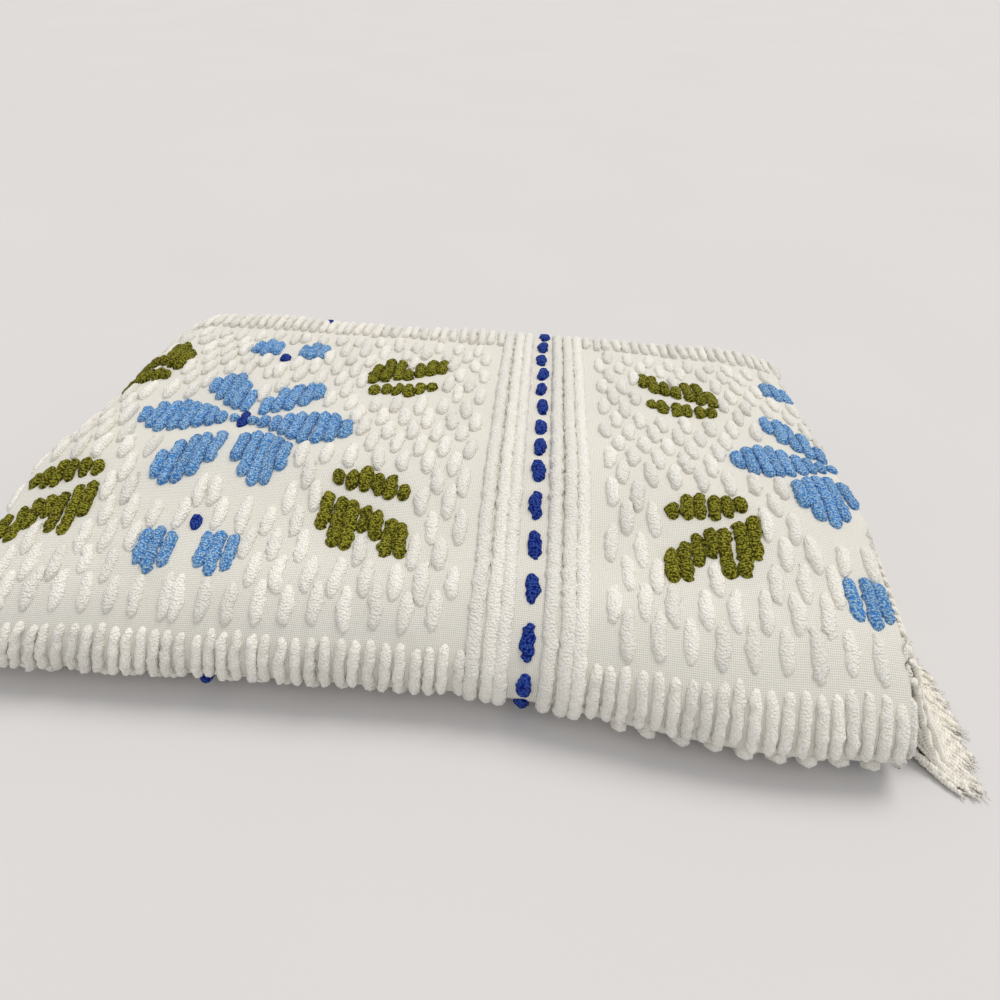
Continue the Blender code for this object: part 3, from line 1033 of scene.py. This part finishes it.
def strand_paths(from_front, level, seed, rings=24, reach_factor=1.0):
    """Each strand leaves the free edge, falls outside the bundle, and lies out on the table.

    Its reach and lean follow the table of the fringe at its place along the edge, and each strand
    wanders to the side and stops at its own length.
    """
    random = np.random.default_rng(seed)
    count = len(from_front)
    ex, ey, ez = settle(np.full(count, RIGHT_EDGE), FRONT_EDGE + from_front, level)
    long = reach_factor * (1 + 0.09 * random.standard_normal((count, 1))).clip(0.75, 1.08)
    t = np.linspace(0, 1, rings)[None, :]
    out, fall = smooth_table(t, STRAND_FALL, 1), smooth_table(t, STRAND_FALL, 2)
    spread = random.standard_normal((count, 1)).clip(-1.5, 1.5)
    wander = 0.0022 * np.sin(5.5 * t + 6 * random.random((count, 1))) * t + 0.004 * spread * t
    x = ex[:, None] + 0.0016 + out * long * smooth_table(from_front, FRINGE_REACH, 1)[:, None]
    y = ey[:, None] - out * long * smooth_table(from_front, FRINGE_REACH, 2)[:, None] + wander
    lying = 0.0016 + 0.0030 * random.random((count, 1)) * (1 - 0.5 * t)
    z = lying + np.clip(fall, 0, 1) * (ez[:, None] - lying)
    z += 0.0012 * np.sin(9 * t + 6 * random.random((count, 1))) * (1 - np.abs(2 * t - 1))
    return np.stack([x, y, np.maximum(z, 0.0014)], -1)


class SPREAD_OT_fringe(bpy.types.Operator):
    """Twisted fringe along the right-hand free edges, with frayed ends."""

    bl_idname = "spread.fringe"
    bl_label = "Fringe"

    def execute(self, context):
        sizes, colours = settings()
        random = np.random.default_rng(21)
        paths = self.strands(random, sizes.strand_count)
        count, rings, _ = paths.shape
        t = np.linspace(0, 1, rings)[None, :]
        radii = sizes.strand_radius * (1 + 0.10 * random.standard_normal((count, 1))) * (1 - 0.25 * t**6)
        material = twisted_yarn(colours.fringe)
        strands = tube_piece("fringe_strands", paths, radii, 5, material, math.tau / TWIST_LENGTH, PLY_LOBE)
        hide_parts("fringe")
        wisps, thin = self.wisps(random, paths)
        tube_piece("fringe_frayed_ends", wisps, thin, 3, material)
        return {"FINISHED"}

    def strands(self, random, count):
        """Paths of all the strands: the two whole edges, and the front end of the plies below them."""
        rows = []
        evenly = np.linspace(*EDGE_RUN, count)
        for number, level in enumerate(EDGE_LEVELS):
            from_front = evenly + 0.0014 * random.standard_normal(count) + 0.002 * number
            rows.append(strand_paths(from_front, level * STRIP_PITCH, 30 + number))
        evenly = np.linspace(*LOWER_RUN, LOWER_STRANDS)
        for number, level in enumerate(LOWER_LEVELS):
            from_front = evenly + 0.002 * random.standard_normal(LOWER_STRANDS)
            shorter = 0.98 - 0.04 * number
            rows.append(strand_paths(from_front, level * STRIP_PITCH, 40 + number, reach_factor=shorter))
        return np.concatenate(rows)

    def wisps(self, random, paths):
        """Paths and radii of the frayed wisps: each goes on from its strand's end and strays to one side."""
        ends = np.repeat(paths[:, -3:], WISPS, axis=0)
        start, ahead = ends[:, 0], ends[:, 2] - ends[:, 0]
        ahead /= np.linalg.norm(ahead, axis=1, keepdims=True)
        t = np.linspace(0, 1, 5)[None, :, None]
        stray = random.standard_normal((len(ends), 1, 3)) * np.array([0.0016, 0.0022, 0.0010])
        length = 0.006 + 0.004 * random.random((len(ends), 1, 1))
        wisps = start[:, None] + ahead[:, None] * length * t + stray * t**1.5
        wisps[..., 2] = np.maximum(wisps[..., 2], 0.0005)
        return wisps, np.broadcast_to(0.00065 * (1 - 0.4 * t[..., 0]), wisps.shape[:2])


class SPREAD_OT_declare(bpy.types.Operator):
    """Takes no step: it finishes at once."""

    bl_idname = "spread.declare"
    bl_label = "Declare the sheet"

    def execute(self, context):
        return {"FINISHED"}


# Studio
FLOOR_HALF = 12.0
CAMERA_PLACE = (0.07528, -0.49705, 0.40800)
CAMERA_PITCH, CAMERA_YAW, CAMERA_ROLL = math.radians(38.0), math.radians(2.9), math.radians(1.5)
CAMERA_FOCAL_SHARE = 0.727  # focal length over the frame's width
SENSOR_WIDTH = 36.0
SKY_STRENGTH = 0.72
SUN_STRENGTH = 1.60
SUN_ANGLE = math.radians(32)  # width of the soft light, seen from the table
SUN_FROM = (0.50, 0.65, 1.35)


class SPREAD_OT_studio(bpy.types.Operator):
    """Pale floor, soft light from above, behind and to the right, and the camera."""

    bl_idname = "spread.studio"
    bl_label = "Studio"

    def execute(self, context):
        scene = context.scene
        _, colours = settings()
        self.make_floor(colours)
        world = bpy.data.worlds.new("soft_room_light")
        scene.world = world
        world.use_nodes = True
        background = world.node_tree.nodes["Background"]
        background.inputs["Color"].default_value = rgba(linear("#f7f7f9"))
        background.inputs["Strength"].default_value = SKY_STRENGTH
        data = bpy.data.lights.new("overhead_softbox", "SUN")
        data.energy = SUN_STRENGTH
        data.angle = SUN_ANGLE
        data.color = linear("#fffbf5")
        lamp = bpy.data.objects.new("overhead_softbox", data)
        lamp.rotation_euler = (-Vector(SUN_FROM)).to_track_quat("-Z", "Y").to_euler()
        scene.collection.objects.link(lamp)
        self.make_camera(scene)
        scene.view_settings.view_transform = "Standard"
        scene.view_settings.look = "None"
        return {"FINISHED"}

    def make_floor(self, colours):
        """A level square of 24 m, in a grid of eight by eight."""
        side = np.linspace(-FLOOR_HALF, FLOOR_HALF, 9)
        x, y = np.meshgrid(side, side)
        points = np.stack([x.ravel(), y.ravel(), np.zeros(x.size)], 1)
        faces = grid_faces(len(side), len(side))
        paper = seamless_paper(colours.floor)
        floor = mesh_piece("studio_floor", points, faces, points[faces][..., :2], paper)

    def make_camera(self, scene):
        """Looks down along its pitch, turned by its yaw, and rolled about its line of sight."""
        data = bpy.data.cameras.new("studio_camera")
        data.sensor_width = SENSOR_WIDTH
        data.lens = CAMERA_FOCAL_SHARE * SENSOR_WIDTH
        data.clip_start, data.clip_end = 0.01, 50.0
        camera = bpy.data.objects.new("studio_camera", data)
        tilt = Matrix.Rotation(math.pi / 2 - CAMERA_PITCH, 4, "X")
        turn = Matrix.Rotation(CAMERA_YAW, 4, "Z") @ tilt @ Matrix.Rotation(CAMERA_ROLL, 4, "Z")
        camera.matrix_world = Matrix.Translation(CAMERA_PLACE) @ turn
        scene.collection.objects.link(camera)
        scene.camera = camera


OPERATORS = (
    SPREAD_OT_ground,
    SPREAD_OT_popcorn,
    SPREAD_OT_bars,
    SPREAD_OT_flowers,
    SPREAD_OT_leaves,
    SPREAD_OT_dashes,
    SPREAD_OT_fringe,
    SPREAD_OT_declare,
    SPREAD_OT_studio,
)


class SPREAD_PT_panel(bpy.types.Panel):
    """Lists the sizes, the colours and each piece's operator."""

    bl_label = "Bedspread"
    bl_idname = "SPREAD_PT_panel"
    bl_space_type = "VIEW_3D"
    bl_region_type = "UI"
    bl_category = "Bedspread"

    def draw(self, context):
        for group in (context.scene.spread_sizes, context.scene.spread_colours):
            for key in group.bl_rna.properties.keys():
                if key not in ("rna_type", "name"):
                    self.layout.prop(group, key)
        for operator in OPERATORS:
            self.layout.operator(operator.bl_idname)


CLASSES = (SpreadSizes, SpreadColours, *OPERATORS, SPREAD_PT_panel)


def register():
    for item in CLASSES:
        bpy.utils.register_class(item)
    bpy.types.Scene.spread_sizes = PointerProperty(type=SpreadSizes)
    bpy.types.Scene.spread_colours = PointerProperty(type=SpreadColours)


def unregister():
    del bpy.types.Scene.spread_colours
    del bpy.types.Scene.spread_sizes
    for item in reversed(CLASSES):
        bpy.utils.unregister_class(item)


def main():
    """Makes every piece and the stage, in order."""
    register()
    bpy.ops.spread.ground()
    bpy.ops.spread.popcorn()
    bpy.ops.spread.bars()
    bpy.ops.spread.flowers()
    bpy.ops.spread.leaves()
    bpy.ops.spread.dashes()
    bpy.ops.spread.fringe()
    bpy.ops.spread.studio()
    bpy.ops.spread.declare()


if __name__ == "__main__":
    main()
